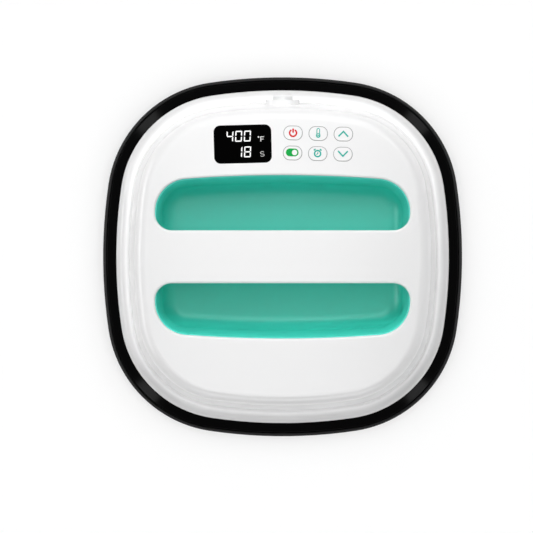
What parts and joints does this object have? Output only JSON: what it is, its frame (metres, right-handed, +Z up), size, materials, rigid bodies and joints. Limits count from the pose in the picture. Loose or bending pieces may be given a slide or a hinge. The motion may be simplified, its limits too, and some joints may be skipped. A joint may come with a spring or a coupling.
{
  "type": "flat heat press",
  "caption": "Flat hand-held heat press with a domed body, bridged grip bar over a hand basin, display and pill keys, resting on an insulated stand.",
  "frame": {"origin": "centre of the stand's footprint, at the bottom of its feet", "axes": "+Z up, +Y towards the back, where the cord enters, +X to the right as the user reads the display"},
  "size_m": [0.288, 0.288, 0.114],
  "materials": {
    "white_shell": "glossy moulded ABS",
    "teal_basin": "satin moulded plastic",
    "teal_grip": "satin moulded plastic",
    "black_skirt": "high-gloss black moulding",
    "stand_grey": "fine matte texture",
    "silicone_pad": "closed-cell silicone foam",
    "woven_liner": "coated glass cloth",
    "rubber_feet": "soft rubber",
    "coated_plate": "non-stick coated cast plate",
    "element_steel": "heat-tinted tube",
    "ceramic": "glazed ceramic",
    "sensor_metal": "pressed tin-plated can",
    "mineral_blanket": "mineral fibre",
    "shield_steel": "galvanised sheet",
    "post_steel": "zinc-plated",
    "screw_steel": "zinc-plated",
    "dark_lens": "tinted acrylic",
    "display_body": "moulded frame",
    "white_key": "glossy moulded caps",
    "plunger": "moulded",
    "circuit_board": "solder-masked laminate",
    "component_black": "moulded packages",
    "component_blue": "sleeved can",
    "component_yellow": "taped winding",
    "heatsink_aluminium": "extruded",
    "terminal_green": "moulded terminal block",
    "gland_nylon": "nylon",
    "wire_sleeve": "silicone-sleeved wire"
  },
  "bodies": {
    "stand": {"stand_tray": "stand_grey", "stand_pad": "silicone_pad", "stand_liner": "woven_liner", "stand_feet": "rubber_feet"},
    "press": {"heat_plate": "coated_plate", "heating_element": "element_steel", "element_terminals": "ceramic", "thermostat": "sensor_metal", "thermistor": "sensor_metal", "thermal_fuse": "ceramic", "lower_skirt": "black_skirt", "insulation_blanket": "mineral_blanket", "heat_shield": "shield_steel", "plate_posts": "post_steel", "plate_screws": "screw_steel", "shield_screws": "screw_steel", "shell_screws": "screw_steel", "top_shell": "white_shell", "handle_basin": "teal_basin", "basin_screws": "screw_steel", "handle_underside": "teal_grip", "handle_screws": "screw_steel", "display_window": "dark_lens", "display_module": "display_body", "control_board": "circuit_board", "tact_switches": "component_black", "buzzer": "component_black", "control_chip": "component_black", "board_screws": "screw_steel", "power_board": "circuit_board", "board_spacers": "post_steel", "power_board_screws": "screw_steel", "transformer": "component_yellow", "capacitor": "component_blue", "relay": "component_black", "fuse_holder": "ceramic", "triac_heatsink": "heatsink_aluminium", "triac": "component_black", "terminal_block": "terminal_green", "cord_gland": "gland_nylon", "gland_nut": "gland_nylon", "heater_leads": "wire_sleeve", "sensor_lead": "wire_sleeve", "board_cable": "wire_sleeve", "mains_lead": "wire_sleeve"},
    "power_button": {"power_key": "white_key", "power_plunger": "plunger"},
    "temperature_button": {"temperature_key": "white_key", "temperature_plunger": "plunger"},
    "up_button": {"up_key": "white_key", "up_plunger": "plunger"},
    "mode_button": {"mode_key": "white_key", "mode_plunger": "plunger"},
    "timer_button": {"timer_key": "white_key", "timer_plunger": "plunger"},
    "down_button": {"down_key": "white_key", "down_plunger": "plunger"}
  },
  "joints": [
    {"name": "lift_off", "type": "slide", "parent": "stand", "child": "press", "axis": [0, 0, 1], "range_m": [0, 0.08]},
    {"name": "power_press", "type": "slide", "parent": "press", "child": "power_button", "axis": [0, 0, -1], "range_m": [0, 0.0008], "stiffness_N_per_m": 400},
    {"name": "temperature_press", "type": "slide", "parent": "press", "child": "temperature_button", "axis": [0, 0, -1], "range_m": [0, 0.0008], "stiffness_N_per_m": 400},
    {"name": "up_press", "type": "slide", "parent": "press", "child": "up_button", "axis": [0, 0, -1], "range_m": [0, 0.0008], "stiffness_N_per_m": 400},
    {"name": "mode_press", "type": "slide", "parent": "press", "child": "mode_button", "axis": [0, 0, -1], "range_m": [0, 0.0008], "stiffness_N_per_m": 400},
    {"name": "timer_press", "type": "slide", "parent": "press", "child": "timer_button", "axis": [0, 0, -1], "range_m": [0, 0.0008], "stiffness_N_per_m": 400},
    {"name": "down_press", "type": "slide", "parent": "press", "child": "down_button", "axis": [0, 0, -1], "range_m": [0, 0.0008], "stiffness_N_per_m": 400}
  ]
}
